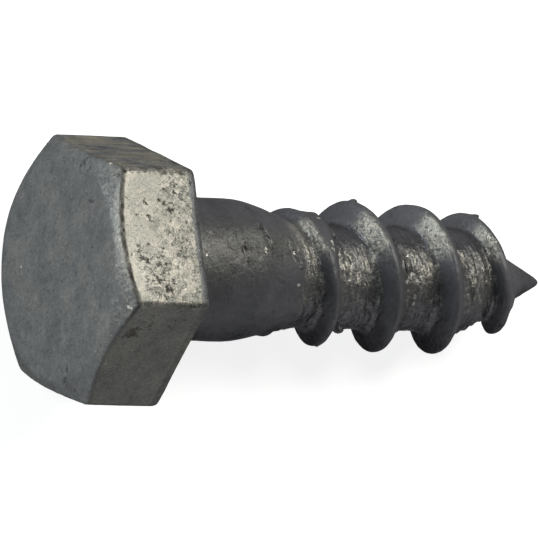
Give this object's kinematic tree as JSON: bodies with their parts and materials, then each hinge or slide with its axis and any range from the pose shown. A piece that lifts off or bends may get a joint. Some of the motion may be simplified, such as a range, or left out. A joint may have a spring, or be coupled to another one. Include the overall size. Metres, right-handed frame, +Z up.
{
  "type": "lag screw",
  "caption": "Short hexagon head lag screw in galvanised steel, with a plain shank, a coarse right-hand wood thread and a conical point, lying on its side.",
  "frame": {"origin": "centre of the head's bearing face, on the screw's axis", "axes": "+Z up from the surface that the screw rests on; +X level, over the screw's axis and towards its point, which dips below it; +Y level, across the screw"},
  "size_m": [0.0306, 0.0148, 0.0135],
  "materials": {
    "galvanised_steel": "hot-dip galvanised, matt grey, with spangle, pits and small lumps of zinc"
  },
  "bodies": {
    "root": {"lag_screw": "galvanised_steel"}
  },
  "joints": []
}
